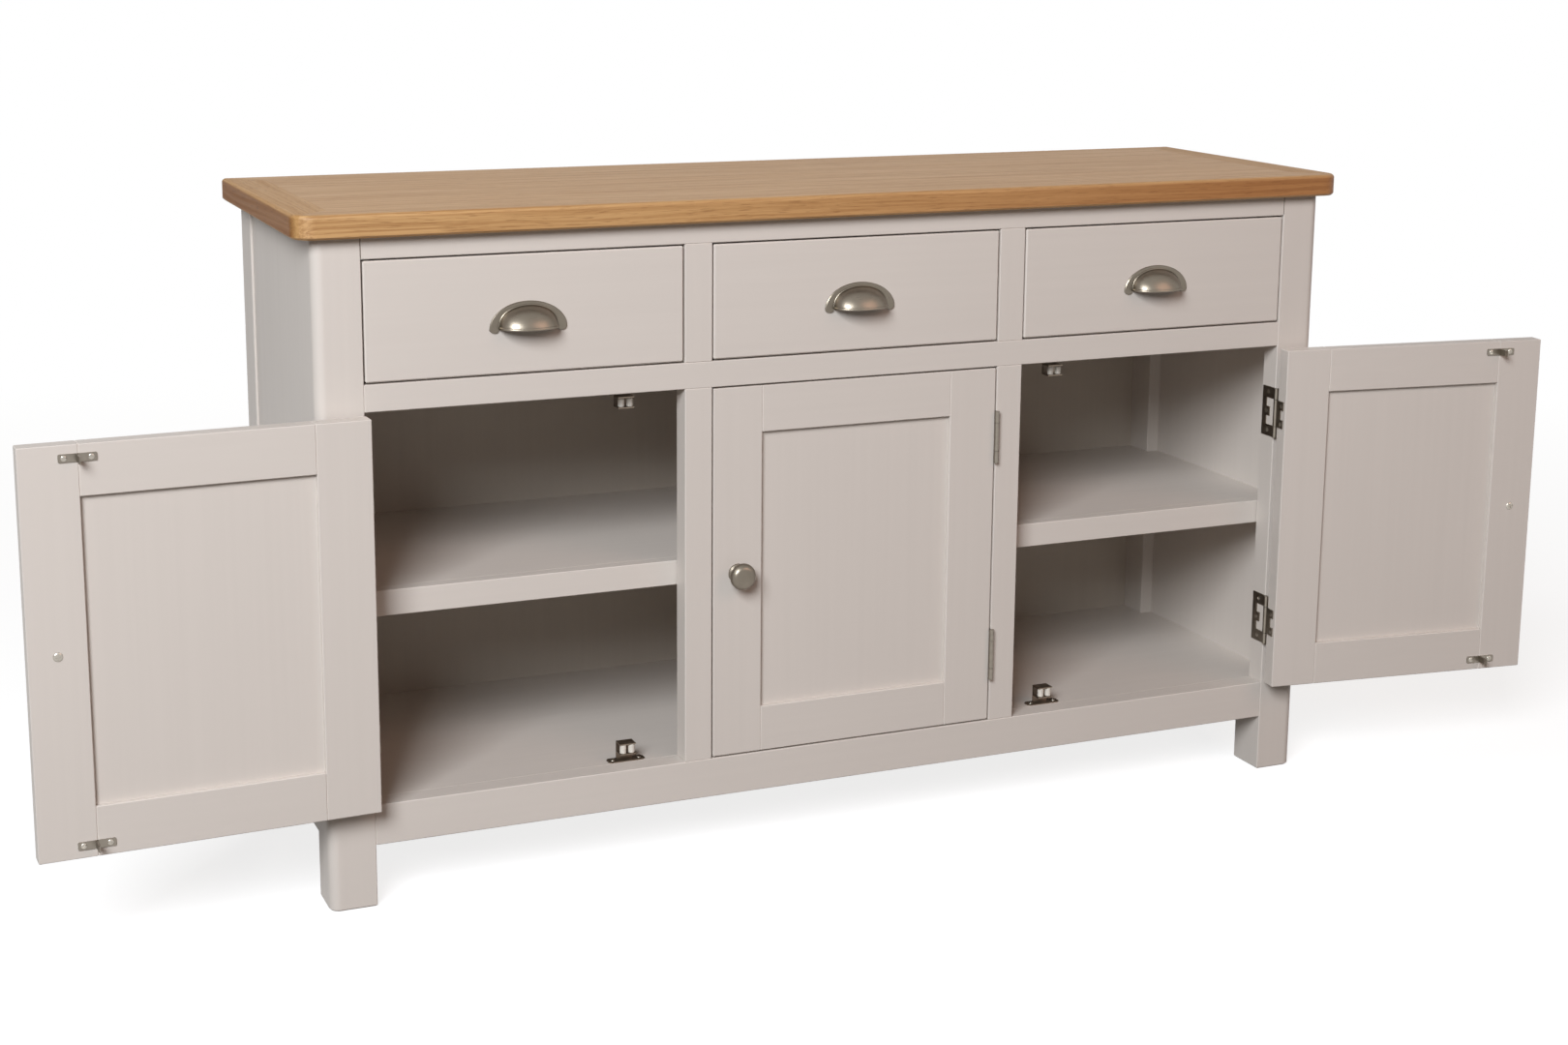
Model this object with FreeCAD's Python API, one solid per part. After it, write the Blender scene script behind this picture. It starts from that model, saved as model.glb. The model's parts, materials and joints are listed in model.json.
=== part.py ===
import FreeCAD, Part
import math
import os

# Painted sideboard with an oak top: three inset drawers over three inset shaker doors.
# Millimetres, +Z up. The origin is on the floor at the middle of the carcass's footprint.
# The front faces -Y and +X is the viewer's right. The two outer doors stand open.

V = FreeCAD.Vector

# Carcass
CARCASS_WIDTH = 1308.0
CARCASS_DEPTH = 395.0
POST = 54.0
POST_ROUND = 12.0
BACK_POST_W = 30.0
FRAME_T = 28.0
LEG_H = 74.0
BOTTOM_RAIL_H = 48.0
DOOR_OPENING_H = 456.0
MIDDLE_RAIL_H = 31.0
DRAWER_OPENING_H = 139.0
TOP_RAIL_H = 25.0
MUNTIN_W = 34.0
EASE = 0.8
FOOT_EASE = 2.0

# Oak top
TOP_T = 27.0
TOP_END_OVERHANG = 21.0
TOP_FRONT_OVERHANG = 16.0
TOP_BACK_OVERHANG = 5.0
TOP_LIPPING_W = 45.0
TOP_CORNER_R = 24.0
TOP_EDGE_R = 5.0
TOP_UNDER_CHAMFER = 2.5

# Boards and panels
SIDE_PANEL_T = 9.0
SIDE_PANEL_SET = 3.0
BACK_PANEL_T = 6.0
BACK_PANEL_SET = 3.0
PANEL_GROOVE = 8.0
GROOVE_CLEAR = 0.15
POST_REBATE_WALL = 30.0
FLOOR_T = 15.0
DUST_BOARD_T = 12.0
BOARD_CLEAR = 0.3
CLEAT = 18.0

# Shelf
SHELF_T = 18.0
SHELF_LIPPING_H = 30.0
SHELF_LIPPING_T = 18.0
SHELF_SETBACK = 2.0
SHELF_RISE = 243.0

# Drawers
DRAWER_GAP = 2.0
DRAWER_FRONT_T = 20.0
DRAWER_FRONT_EASE = 1.5
DRAWER_SIDE_T = 12.0
DRAWER_SIDE_H = 105.0
DRAWER_BOX_CLEAR = 4.0
DRAWER_BOX_L = 320.0
DRAWER_BOTTOM_T = 6.0
DRAWER_BOTTOM_RISE = 10.0
DRAWER_GROOVE = 5.0
RUN_CLEAR = 0.3
GUIDE_CLEAR = 0.5
GUIDE_H = 20.0
GUIDE_W = 12.0

# Doors
DOOR_GAP = 2.0
DOOR_T = 21.0
STILE_W = 62.0
DOOR_RAIL_H = 56.0
DOOR_PANEL_T = 9.0
DOOR_GROOVE = 8.0
DOOR_FLOAT = 0.3
LEFT_OPEN_DEG = 178.0
RIGHT_OPEN_DEG = 173.0

# Flush hinges
HINGE_L = 65.0
HINGE_INSET = 88.0
HINGE_LEAF_T = 1.5
HINGE_FRAME_LEAF_W = 29.0
HINGE_DOOR_LEAF_W = 20.0
HINGE_WINDOW_L = 36.0
HINGE_NEST_CLEAR = 0.5
HINGE_EAR_L = 11.0
HINGE_EAR_W = 7.0
KNUCKLE_R = 3.0
KNUCKLE_FACE_CLEAR = 1.0
PIN_R = 1.5
PIN_RUN_CLEAR = 0.05

# Roller catches and their strikes
CATCH_INSET = 61.0
CATCH_BASE_W = 46.0
CATCH_BASE_D = 14.0
CATCH_EAR_CHAMFER = 3.0
CATCH_BODY_W = 20.0
CATCH_SHEET = 1.4
CATCH_LINE = 16.0
CATCH_ARM_SPACE = 11.0
ROLLER_R = 3.4
ROLLER_GAP = 3.8
ROLLER_END_CLEAR = 0.3
ROLLER_SIDES = 12
STRIKE_W = 40.0
STRIKE_H = 9.0
STRIKE_T = 1.2
STRIKE_CHAMFER = 1.0
STRIKE_REACH = 18.0
STRIKE_WAIST_AT = 9.0
STRIKE_HEAD_AT = 13.0
STRIKE_ROOT = 3.0
STRIKE_WAIST = 1.6
STRIKE_HEAD = 2.8
STRIKE_TIP = 0.8
TONGUE_H = 8.0
CATCH_BACK_CLEAR = 2.5

# Knobs
KNOB_R = 16.0
KNOB_PROJECTION = 25.0
KNOB_ROSE_R = 12.0
KNOB_ROSE_H = 2.0
KNOB_NECK_R = 8.5
KNOB_NECK_H = 8.0
KNOB_FLARE_H = 4.0
KNOB_RIM_H = 6.0
KNOB_RIM_CHAMFER = 3.0
KNOB_CROWN = 1.0
KNOB_SIDES = 32

# Cup pulls
PULL_W = 91.0
PULL_H = 35.0
PULL_PROJECTION = 25.0
PULL_WALL = 2.0
PULL_FLANGE_W = 4.5
PULL_EAR_W = 11.0
PULL_EAR_DROP = 4.0
PULL_BELOW_MIDDLE = 3.0
PULL_FLANGE_T = 1.8
PULL_BANDS = 14
PULL_STEPS = 6
PULL_ARCH_SIDES = 24
PULL_EAR_SIDES = 8

# Levels, from the floor up
Z_DOOR = LEG_H + BOTTOM_RAIL_H
Z_MIDDLE = Z_DOOR + DOOR_OPENING_H
Z_DRAWER = Z_MIDDLE + MIDDLE_RAIL_H
Z_TOP_RAIL = Z_DRAWER + DRAWER_OPENING_H
Z_TOP = Z_TOP_RAIL + TOP_RAIL_H
Z_FLOOR = Z_DOOR - FLOOR_T
Z_SHELF = Z_DOOR + SHELF_RISE

# Planes across and through the carcass
HALF_W = CARCASS_WIDTH / 2
FRONT = -CARCASS_DEPTH / 2
BACK = CARCASS_DEPTH / 2
FRAME_BACK = FRONT + FRAME_T
CLEAR_X = HALF_W - POST
BACK_CLEAR_X = HALF_W - BACK_POST_W
WALL_X = HALF_W - SIDE_PANEL_SET - SIDE_PANEL_T
REBATE_X = HALF_W - POST_REBATE_WALL
BACK_WALL = BACK - BACK_PANEL_SET - BACK_PANEL_T
BAY_W = (2 * CLEAR_X - 2 * MUNTIN_W) / 3
BAYS = [-CLEAR_X + i * (BAY_W + MUNTIN_W) for i in range(3)]
MUNTINS = [x + BAY_W for x in BAYS[:2]]

# Hinge axis, in front of the face and at the middle of the gap
AXIS_Y = FRONT - KNUCKLE_R - KNUCKLE_FACE_CLEAR

nodes = {}


def box(x0, x1, y0, y1, z0, z1):
    return Part.makeBox(x1 - x0, y1 - y0, z1 - z0, V(x0, y0, z0))


def eased(shape, size=EASE):
    return shape.makeChamfer(size, shape.Edges)


def prism(points, along):
    corners = [V(*p) for p in points]
    return Part.Face(Part.makePolygon(corners + corners[:1])).extrude(V(*along))


def fuse(first, *others):
    return first.fuse(list(others)).removeSplitter()


def mirror_x(shape):
    return shape.mirror(V(0, 0, 0), V(1, 0, 0))


def upright_edges(shape):
    return [e for e in shape.Edges if abs(e.tangentAt(e.FirstParameter).z) > 0.999]


def edges_at_z(shape, z):
    return [e for e in shape.Edges if abs(e.BoundBox.ZMin - z) < 1e-4 and abs(e.BoundBox.ZMax - z) < 1e-4]


def edge_near(edges, x, y):
    return min(edges, key=lambda e: (e.CenterOfMass.x - x) ** 2 + (e.CenterOfMass.y - y) ** 2)


def round_steps(sides):
    return [(math.cos(2 * math.pi * i / sides), math.sin(2 * math.pi * i / sides)) for i in range(sides)]


# Solid with flat facets between rings of points and a flat cap on the first and the last ring
def skin(rings):
    def facet(points):
        return Part.Face(Part.makePolygon(points + points[:1]))

    faces = [facet(rings[0]), facet(rings[-1])]
    for low, high in zip(rings, rings[1:]):
        faces += [facet([low[i - 1], low[i], high[i], high[i - 1]]) for i in range(len(low))]
    solid = Part.Solid(Part.Shell(faces))
    return solid if solid.Volume > 0 else solid.reversed()


def add(name, *solids):
    nodes.setdefault(name, []).extend(solids)


# Oak top: one rounded slab, cut along the lipping joints and the mitres
def build_top():
    x, front, back = HALF_W + TOP_END_OVERHANG, FRONT - TOP_FRONT_OVERHANG, BACK + TOP_BACK_OVERHANG
    lip = TOP_LIPPING_W
    slab = box(-x, x, front, back, Z_TOP, Z_TOP + TOP_T)
    uprights = upright_edges(slab)
    slab = slab.makeFillet(TOP_CORNER_R, [edge_near(uprights, s * x, front) for s in (-1, 1)])
    slab = slab.makeChamfer(TOP_UNDER_CHAMFER, edges_at_z(slab, Z_TOP))
    slab = slab.makeFillet(TOP_EDGE_R, edges_at_z(slab, Z_TOP + TOP_T))
    add("top_panel", slab.common(box(lip - x, x - lip, front + lip, back - lip, Z_TOP, Z_TOP + TOP_T)))
    up = (0, 0, TOP_T)
    for edge, inner in ((front, front + lip), (back, back - lip)):
        outline = [(-x, edge, Z_TOP), (x, edge, Z_TOP), (x - lip, inner, Z_TOP), (lip - x, inner, Z_TOP)]
        add("top_long_lippings", slab.common(prism(outline, up)))
    for s in (-1, 1):
        end, inner = s * x, s * (x - lip)
        outline = [(end, front, Z_TOP), (end, back, Z_TOP),
                   (inner, back - lip, Z_TOP), (inner, front + lip, Z_TOP)]
        add("top_end_lippings", slab.common(prism(outline, up)))


# Corner posts, drawn on the left and mirrored to the right
def side_panel_groove(y0, y1):
    outer = -HALF_W + SIDE_PANEL_SET
    return box(outer - GROOVE_CLEAR, outer + SIDE_PANEL_T + GROOVE_CLEAR, y0, y1, LEG_H, Z_TOP)


def build_posts():
    inner = -HALF_W + POST
    front = box(-HALF_W, inner, FRONT, FRONT + POST, 0, Z_TOP)
    front = front.makeFillet(POST_ROUND, [edge_near(upright_edges(front), -HALF_W, FRONT)])
    front = front.makeChamfer(FOOT_EASE, edges_at_z(front, 0))
    front = front.makeChamfer(EASE, [edge_near(upright_edges(front), inner, FRONT)])
    front = front.cut(box(-REBATE_X, inner, FRAME_BACK, FRONT + POST, Z_FLOOR, Z_TOP))
    front = front.cut(side_panel_groove(FRONT + POST - PANEL_GROOVE, FRONT + POST))
    back = box(-HALF_W, -BACK_CLEAR_X, BACK - POST, BACK, 0, Z_TOP)
    back = back.makeChamfer(FOOT_EASE, edges_at_z(back, 0))
    back = back.makeChamfer(EASE, upright_edges(back))
    back = back.cut(side_panel_groove(BACK - POST, BACK - POST + PANEL_GROOVE))
    groove_y0 = BACK_WALL - GROOVE_CLEAR
    groove_y1 = BACK_WALL + BACK_PANEL_T + GROOVE_CLEAR
    groove_x = -BACK_CLEAR_X - PANEL_GROOVE
    back = back.cut(box(groove_x, -BACK_CLEAR_X, groove_y0, groove_y1, LEG_H, Z_TOP))
    for name, post in (("front", front), ("back", back)):
        add(name + "_left_post", post)
        add(name + "_right_post", mirror_x(post))


# Side and back panels, held in the posts' grooves
def build_panels():
    tongue = PANEL_GROOVE - BOARD_CLEAR
    side = box(-WALL_X - SIDE_PANEL_T, -WALL_X, FRONT + POST - tongue, BACK - POST + tongue, LEG_H, Z_TOP)
    add("left_side_panel", side)
    add("right_side_panel", mirror_x(side))
    reach = BACK_CLEAR_X + tongue
    add("back_panel", box(-reach, reach, BACK_WALL, BACK_WALL + BACK_PANEL_T, LEG_H, Z_TOP))


# Front frame between the posts
def build_frame():
    rails = (("bottom_rail", LEG_H, Z_DOOR), ("middle_rail", Z_MIDDLE, Z_DRAWER),
             ("top_rail", Z_TOP_RAIL, Z_TOP))
    for name, z0, z1 in rails:
        add(name, eased(box(-CLEAR_X, CLEAR_X, FRONT, FRAME_BACK, z0, z1)))
    for x in MUNTINS:
        add("door_muntins", eased(box(x, x + MUNTIN_W, FRONT, FRAME_BACK, Z_DOOR, Z_MIDDLE)))
        add("drawer_muntins", eased(box(x, x + MUNTIN_W, FRONT, FRAME_BACK, Z_DRAWER, Z_TOP_RAIL)))


# Boards that run from wall to wall, notched round the posts
def board(y0, z0, thickness):
    plate = box(-WALL_X, WALL_X, y0, BACK_WALL, z0, z0 + thickness)
    for s in (-1, 1):
        x0, x1 = sorted((s * (REBATE_X - BOARD_CLEAR), s * HALF_W))
        plate = plate.cut(box(x0, x1, FRONT, FRONT + POST + BOARD_CLEAR, z0, z0 + thickness))
        x0, x1 = sorted((s * (BACK_CLEAR_X - BOARD_CLEAR), s * HALF_W))
        plate = plate.cut(box(x0, x1, BACK - POST - BOARD_CLEAR, BACK, z0, z0 + thickness))
    return plate


def build_boards():
    add("floor_board", board(FRAME_BACK, Z_FLOOR, FLOOR_T))
    add("dust_board", board(FRAME_BACK, Z_MIDDLE, DUST_BOARD_T))
    shelf_front = FRAME_BACK + SHELF_SETBACK
    lipping_back = shelf_front + SHELF_LIPPING_T
    lipping_x = REBATE_X - BOARD_CLEAR
    lipping = box(-lipping_x, lipping_x, shelf_front, lipping_back, Z_SHELF - SHELF_LIPPING_H, Z_SHELF)
    add("shelf_lipping", eased(lipping))
    z_under = Z_SHELF - SHELF_T
    add("shelf_board", board(lipping_back, z_under, SHELF_T))
    front, back = FRONT + POST, BACK - POST
    for s in (-1, 1):
        x0, x1 = sorted((s * WALL_X, s * (WALL_X - CLEAT)))
        add("cleats", box(x0, x1, front, back, z_under - CLEAT, z_under))
    add("cleats", box(-BACK_CLEAR_X, BACK_CLEAR_X, BACK_WALL - CLEAT, BACK_WALL, z_under - CLEAT, z_under))
    add("cleats", box(-CLEAR_X, CLEAR_X, FRAME_BACK, FRAME_BACK + CLEAT, Z_FLOOR - CLEAT, Z_FLOOR))


# Drawer runners on the dust board: an upstand guides the sides, ledges beside it carry them
def build_runners():
    z0, z1, z2 = Z_MIDDLE + DUST_BOARD_T, Z_DRAWER, Z_DRAWER + GUIDE_H
    ledge = DRAWER_BOX_CLEAR + DRAWER_SIDE_T
    guide = DRAWER_BOX_CLEAR - GUIDE_CLEAR

    def runner(base0, base1, guide0, guide1, y_end):
        outline = [(base0, z0), (base1, z0), (base1, z1), (guide1, z1),
                   (guide1, z2), (guide0, z2), (guide0, z1), (base0, z1)]
        clean = [p for i, p in enumerate(outline) if p != outline[i - 1]]
        return prism([(x, FRAME_BACK, z) for x, z in clean], (0, y_end - FRAME_BACK, 0))

    for x in MUNTINS:
        x1 = x + MUNTIN_W
        add("drawer_runners", runner(x - ledge, x1 + ledge, x - guide, x1 + guide, BACK_WALL))
    inner = -CLEAR_X + guide
    end = runner(inner - GUIDE_W, -CLEAR_X + ledge, inner - GUIDE_W, inner, BACK - POST)
    add("drawer_runners", end, mirror_x(end))


# Cup pull: a hollow quarter dome, open below, with a flange round its arch that ends in a round ear at each
# side, a little lower than the dome's lip
def dome(half_w, depth, rise):
    rings = []
    for i in range(1, PULL_BANDS):
        along = math.pi * i / PULL_BANDS
        x, swell = -half_w * math.cos(along), math.sin(along)
        turns = [math.pi / 2 * j / PULL_STEPS for j in range(PULL_STEPS + 1)]
        rim = [V(x, -depth * swell * math.sin(t), rise * swell * math.cos(t)) for t in turns]
        rings.append([V(x, 0, 0)] + rim)
    return skin(rings)


def cup_pull(x, z):
    lip = z - PULL_H / 2 + PULL_EAR_DROP
    half_w, over_lip = PULL_W / 2 - PULL_EAR_W, PULL_H - PULL_EAR_DROP
    rise = over_lip - PULL_FLANGE_W
    turns = [math.pi * i / PULL_ARCH_SIDES for i in range(PULL_ARCH_SIDES + 1)]
    outline = [(math.cos(a) * PULL_W / 2, 0, math.sin(a) * over_lip) for a in turns]
    ear_r = PULL_EAR_W / 2
    for s in (-1, 1):
        middle = s * (PULL_W / 2 - ear_r)
        for i in range(PULL_EAR_SIDES + 1):
            a = math.pi * i / PULL_EAR_SIDES
            outline.append((middle - ear_r * math.cos(a), 0, -PULL_EAR_DROP * math.sin(a)))
    outline = [p for i, p in enumerate(outline) if V(*p).distanceToPoint(V(*outline[i - 1])) > 0.001]
    flange = prism(outline, (0, -PULL_FLANGE_T, 0))
    hollow = dome(half_w - PULL_WALL, PULL_PROJECTION - PULL_WALL, rise - PULL_WALL)
    pull = fuse(dome(half_w, PULL_PROJECTION, rise), flange).cut(hollow)
    return pull.translated(V(x, FRONT, lip))


def build_drawer(name, x0):
    x1 = x0 + BAY_W
    z0, z1 = Z_DRAWER + DRAWER_GAP, Z_TOP_RAIL - DRAWER_GAP
    front_back = FRONT + DRAWER_FRONT_T
    box_end = front_back + DRAWER_BOX_L
    side_z = Z_DRAWER + RUN_CLEAR
    outer0, outer1 = x0 + DRAWER_BOX_CLEAR, x1 - DRAWER_BOX_CLEAR
    inner0, inner1 = outer0 + DRAWER_SIDE_T, outer1 - DRAWER_SIDE_T
    bottom_z = side_z + DRAWER_BOTTOM_RISE
    groove = box(inner0 - DRAWER_GROOVE, inner1 + DRAWER_GROOVE, front_back - DRAWER_GROOVE, box_end,
                 bottom_z - GROOVE_CLEAR, bottom_z + DRAWER_BOTTOM_T + GROOVE_CLEAR)
    front = eased(box(x0 + DRAWER_GAP, x1 - DRAWER_GAP, FRONT, front_back, z0, z1), DRAWER_FRONT_EASE)
    add(name + "_front", front.cut(groove))
    for a, b in ((outer0, inner0), (inner1, outer1)):
        side = eased(box(a, b, front_back, box_end, side_z, side_z + DRAWER_SIDE_H))
        add(name + "_sides", side.cut(groove))
    over_bottom = bottom_z + DRAWER_BOTTOM_T + GROOVE_CLEAR
    add(name + "_back", box(inner0, inner1, box_end - DRAWER_SIDE_T, box_end,
                            over_bottom, side_z + DRAWER_SIDE_H))
    tongue = DRAWER_GROOVE - BOARD_CLEAR
    add(name + "_bottom", box(inner0 - tongue, inner1 + tongue, front_back - tongue, box_end,
                              bottom_z, bottom_z + DRAWER_BOTTOM_T))
    add(name + "_pull", cup_pull((x0 + x1) / 2, (z0 + z1) / 2 - PULL_BELOW_MIDDLE))


# Flush hinge on an axis at x, its door to side s: the door leaf nests in the frame leaf's window, with the
# frame leaf's tab between its ears, and turns on the pin between the frame leaf's two knuckles
def hinge_levels():
    return Z_DOOR + HINGE_INSET, Z_MIDDLE - HINGE_INSET


def knuckle(x, z0, z1):
    return Part.makeCylinder(KNUCKLE_R, z1 - z0, V(x, AXIS_Y, z0))


def frame_leaf(x, s, z):
    jamb = x - s * DOOR_GAP / 2
    x0, x1 = sorted((jamb, jamb + s * HINGE_LEAF_T))
    half, window = HINGE_L / 2, HINGE_WINDOW_L / 2
    plate = box(x0, x1, AXIS_Y, AXIS_Y + HINGE_FRAME_LEAF_W, z - half, z + half)
    strip = AXIS_Y + HINGE_DOOR_LEAF_W + HINGE_NEST_CLEAR
    opening = box(x0, x1, AXIS_Y, strip, z - window, z + window)
    tab_half = window - 2 * HINGE_NEST_CLEAR - HINGE_EAR_L
    tab = box(x0, x1, strip - HINGE_EAR_W, strip, z - tab_half, z + tab_half)
    pin = Part.makeCylinder(PIN_R, HINGE_WINDOW_L, V(x, AXIS_Y, z - window))
    ends = [knuckle(x, z - half, z - window), knuckle(x, z + window, z + half)]
    return fuse(plate.cut(opening), tab, pin, *ends)


def door_leaf(x, s, z):
    edge = x + s * DOOR_GAP / 2
    x0, x1 = sorted((edge, edge - s * HINGE_LEAF_T))
    half = HINGE_WINDOW_L / 2 - HINGE_NEST_CLEAR
    tip = AXIS_Y + HINGE_DOOR_LEAF_W
    plate = box(x0, x1, AXIS_Y, tip, z - half, z + half)
    notch = box(x0, x1, tip - HINGE_EAR_W, tip, z - half + HINGE_EAR_L, z + half - HINGE_EAR_L)
    bore = Part.makeCylinder(PIN_R + PIN_RUN_CLEAR, 2 * half, V(x, AXIS_Y, z - half))
    return fuse(plate.cut(notch), knuckle(x, z - half, z + half)).cut(bore)


# Twin roller catch on a board at z, built upwards (up = 1) or hanging (up = -1)
def roller(x, y, z, height):
    outline = [(x + ROLLER_R * a, y + ROLLER_R * b, z) for a, b in round_steps(ROLLER_SIDES)]
    return prism(outline, (0, 0, height))


def catch(x, z, up):
    line = FRONT + DOOR_T + STRIKE_WAIST_AT
    arm_front = line - ROLLER_R
    back = FRONT + DOOR_T + STRIKE_REACH + CATCH_BACK_CLEAR
    end = back + CATCH_SHEET
    low, high = CATCH_LINE - CATCH_ARM_SPACE / 2, CATCH_LINE + CATCH_ARM_SPACE / 2
    outline = [(end, 0), (end, high + CATCH_SHEET), (arm_front, high + CATCH_SHEET), (arm_front, high),
               (back, high), (back, low), (arm_front, low), (arm_front, low - CATCH_SHEET),
               (back, low - CATCH_SHEET), (back, 0)]
    half = CATCH_BODY_W / 2
    body = prism([(x - half, y, z + up * h) for y, h in outline], (CATCH_BODY_W, 0, 0))
    ear, corner = CATCH_BASE_W / 2, CATCH_EAR_CHAMFER
    foot_front = end - CATCH_BASE_D
    right = [(ear - corner, foot_front), (ear, foot_front + corner), (ear, end - corner), (ear - corner, end)]
    left = [(-a, b) for a, b in reversed(right)]
    foot = prism([(x + a, b, z) for a, b in right + left], (0, 0, up * CATCH_SHEET))
    start = z + up * (low + ROLLER_END_CLEAR)
    height = up * (CATCH_ARM_SPACE - 2 * ROLLER_END_CLEAR)
    rollers = [roller(x + s * (ROLLER_GAP / 2 + ROLLER_R), line, start, height) for s in (-1, 1)]
    return fuse(body, foot), rollers


# Strike on the inside of a door: a plate with a spear tongue that goes in between the rollers
def strike(x, z):
    inside = FRONT + DOOR_T
    half_w, half_h = STRIKE_W / 2, STRIKE_H / 2
    plate = box(x - half_w, x + half_w, inside, inside + STRIKE_T, z - half_h, z + half_h)
    plate = plate.makeChamfer(STRIKE_CHAMFER, [e for e in plate.Edges if abs(e.tangentAt(0).y) > 0.999])
    steps = ((0, STRIKE_ROOT), (STRIKE_WAIST_AT, STRIKE_WAIST),
             (STRIKE_HEAD_AT, STRIKE_HEAD), (STRIKE_REACH, STRIKE_TIP))
    z0 = z - TONGUE_H / 2
    right = [(x + w / 2, inside + y, z0) for y, w in steps]
    left = [(x - w / 2, inside + y, z0) for y, w in reversed(steps)]
    return fuse(plate, prism(right + left, (0, 0, TONGUE_H)))


# Turned knob: rose, waisted neck and a broad head with a chamfered rim and a shallow crown
def knob(x, z):
    face_edge = KNOB_PROJECTION - KNOB_CROWN
    rim = face_edge - KNOB_RIM_CHAMFER
    under_rim = rim - KNOB_RIM_H
    waist = KNOB_ROSE_H + (KNOB_ROSE_R - KNOB_NECK_R)
    flare_r = (KNOB_R + KNOB_NECK_R) / 2
    face_r = KNOB_R - KNOB_RIM_CHAMFER
    profile = ((KNOB_ROSE_R, 0), (KNOB_ROSE_R, KNOB_ROSE_H), (KNOB_NECK_R, waist), (KNOB_NECK_R, KNOB_NECK_H),
               (flare_r, under_rim - KNOB_FLARE_H / 2), (KNOB_R, under_rim), (KNOB_R, rim),
               (face_r, face_edge), (face_r / 2, KNOB_PROJECTION))
    rings = [[V(x + r * a, FRONT - h, z + r * b) for a, b in round_steps(KNOB_SIDES)] for r, h in profile]
    return skin(rings)


# One door, drawn shut in its bay; s is +1 where it hangs on the left of its bay and -1 on the right
def build_door(name, x0, s, open_deg):
    x1 = x0 + BAY_W
    left, right = x0 + DOOR_GAP, x1 - DOOR_GAP
    z0, z1 = Z_DOOR + DOOR_GAP, Z_MIDDLE - DOOR_GAP
    inside = FRONT + DOOR_T
    in0, in1 = left + STILE_W, right - STILE_W
    panel_y = FRONT + (DOOR_T - DOOR_PANEL_T) / 2
    low_rail, high_rail = z0 + DOOR_RAIL_H, z1 - DOOR_RAIL_H
    groove = box(in0 - DOOR_GROOVE, in1 + DOOR_GROOVE,
                 panel_y - GROOVE_CLEAR, panel_y + DOOR_PANEL_T + GROOVE_CLEAR,
                 low_rail - DOOR_GROOVE, high_rail + DOOR_GROOVE)
    tongue = DOOR_GROOVE - DOOR_FLOAT
    stiles = [eased(box(a, b, FRONT, inside, z0, z1)).cut(groove)
              for a, b in ((left, in0), (in1, right))]
    rails = [eased(box(in0, in1, FRONT, inside, a, b)).cut(groove)
             for a, b in ((z0, low_rail), (high_rail, z1))]
    panel = box(in0 - tongue, in1 + tongue, panel_y, panel_y + DOOR_PANEL_T,
                low_rail - tongue, high_rail + tongue)

    jamb, free = (x0, x1) if s > 0 else (x1, x0)
    axis_x = jamb + s * DOOR_GAP / 2
    free_edge = free - s * DOOR_GAP
    catch_x = free_edge - s * CATCH_INSET
    levels = (Z_DOOR + CATCH_LINE, Z_MIDDLE - CATCH_LINE)
    pieces = {"stiles": stiles, "rails": rails, "panel": [panel],
              "knob": [knob(free_edge - s * STILE_W / 2, (z0 + z1) / 2)],
              "strikes": [strike(catch_x, z) for z in levels],
              "hinge_leaves": [door_leaf(axis_x, s, z) for z in hinge_levels()]}
    for piece, solids in pieces.items():
        swung = [solid.rotated(V(axis_x, AXIS_Y, 0), V(0, 0, 1), -s * open_deg) for solid in solids]
        add(name + "_" + piece, *swung)
    for z in hinge_levels():
        add("hinge_frame_leaves", frame_leaf(axis_x, s, z))
    for z, up in ((Z_DOOR, 1), (Z_MIDDLE, -1)):
        housing, rollers = catch(catch_x, z, up)
        add("catch_housings", housing)
        add("catch_rollers", *rollers)


build_top()
build_posts()
build_panels()
build_frame()
build_boards()
build_runners()
for name, x in zip(("left_drawer", "middle_drawer", "right_drawer"), BAYS):
    build_drawer(name, x)
build_door("left_door", BAYS[0], 1, LEFT_OPEN_DEG)
build_door("middle_door", BAYS[1], -1, 0.0)
build_door("right_door", BAYS[2], -1, RIGHT_OPEN_DEG)

os.makedirs("parts", exist_ok=True)
for name, solids in nodes.items():
    shape = solids[0] if len(solids) == 1 else Part.makeCompound(solids)
    shape.exportStep("parts/" + name + ".step")
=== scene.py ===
import json
import math

import bmesh
import bpy
from mathutils import Matrix, Vector


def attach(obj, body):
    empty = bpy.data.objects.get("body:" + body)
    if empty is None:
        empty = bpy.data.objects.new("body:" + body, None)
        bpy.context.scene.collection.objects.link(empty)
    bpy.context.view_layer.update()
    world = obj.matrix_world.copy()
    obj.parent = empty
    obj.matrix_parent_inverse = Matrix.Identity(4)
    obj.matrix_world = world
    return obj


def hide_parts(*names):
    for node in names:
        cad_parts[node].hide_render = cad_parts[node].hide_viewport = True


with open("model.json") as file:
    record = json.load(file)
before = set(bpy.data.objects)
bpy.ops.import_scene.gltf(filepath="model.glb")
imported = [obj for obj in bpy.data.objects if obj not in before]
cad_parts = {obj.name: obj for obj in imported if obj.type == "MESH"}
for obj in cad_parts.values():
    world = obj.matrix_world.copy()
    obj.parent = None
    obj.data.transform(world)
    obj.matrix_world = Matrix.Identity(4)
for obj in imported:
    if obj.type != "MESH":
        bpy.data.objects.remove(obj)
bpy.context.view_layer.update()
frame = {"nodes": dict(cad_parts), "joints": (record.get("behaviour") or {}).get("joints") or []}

MM = 0.001
UP = Vector((0, 0, 1))
TO_FRONT = Vector((0, -1, 0))

# Ways that grain or a brush can run: along X, along Y or along Z
ACROSS, DEEP, UPRIGHT = 0, 1, 2
# Nearly all values of a noise lie between these two
NOISE_SPAN = {"From Min": 0.3, "From Max": 0.7}

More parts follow.
